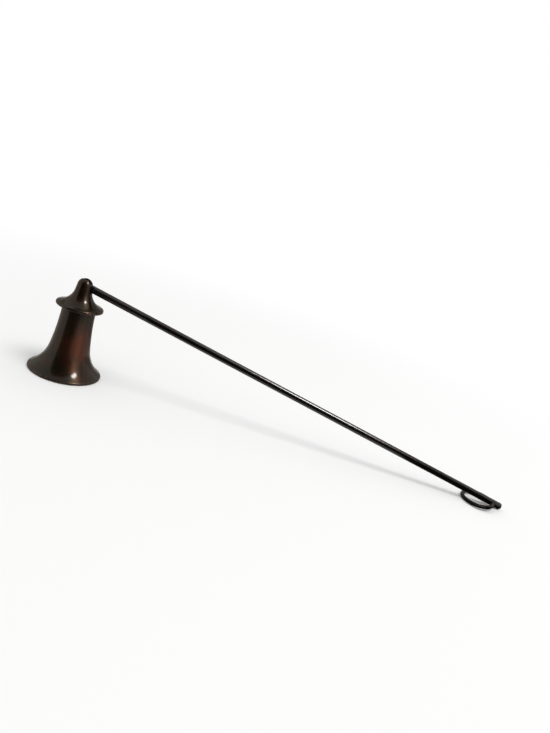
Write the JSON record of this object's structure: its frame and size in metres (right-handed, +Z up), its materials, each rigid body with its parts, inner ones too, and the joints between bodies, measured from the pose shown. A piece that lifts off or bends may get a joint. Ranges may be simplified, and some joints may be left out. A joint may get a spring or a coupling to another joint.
{
  "type": "candle snuffer",
  "caption": "Candle snuffer: a flared bell under a domed cap, with a slim round handle pivoted in the dome and a wire hanging ring through the handle near its tip.",
  "frame": {"origin": "centre of the bell's rim, in the plane of the surface that the bell stands on", "axes": "+Z up the bell's axis to the dome, +X along the handle towards its tip"},
  "size_m": [0.2821, 0.0382, 0.053],
  "materials": {
    "bell_bronze": "polished dark bronze with a warm red-brown cast, slightly rubbed at the rim",
    "cap_bronze": "polished dark bronze, slightly rubbed along the collar's edge",
    "rod_bronze": "polished dark bronze, nearly black",
    "ring_bronze": "polished dark bronze, nearly black, rubbed where the wire bears",
    "pin_bronze": "dark bronze, filed flush",
    "fastener_brass": "plain turned brass"
  },
  "bodies": {
    "head": {"bell_shell": "bell_bronze", "cap": "cap_bronze", "crown_washer": "fastener_brass", "crown_screw": "fastener_brass", "pivot_pin": "pin_bronze"},
    "handle": {"handle_rod": "rod_bronze"},
    "ring": {"hanging_ring": "ring_bronze"}
  },
  "joints": [
    {"name": "handle_pivot", "type": "hinge", "parent": "head", "child": "handle", "pos_m": [0, 0, 0.0494], "axis": [0, -1, 0], "range_deg": [-5.7, 100.2]},
    {"name": "ring_swing", "type": "hinge", "parent": "handle", "child": "ring", "pos_m": [0.25654, 0, 0.00299], "axis": [0, -1, 0], "range_deg": [-5.8, 332]}
  ]
}
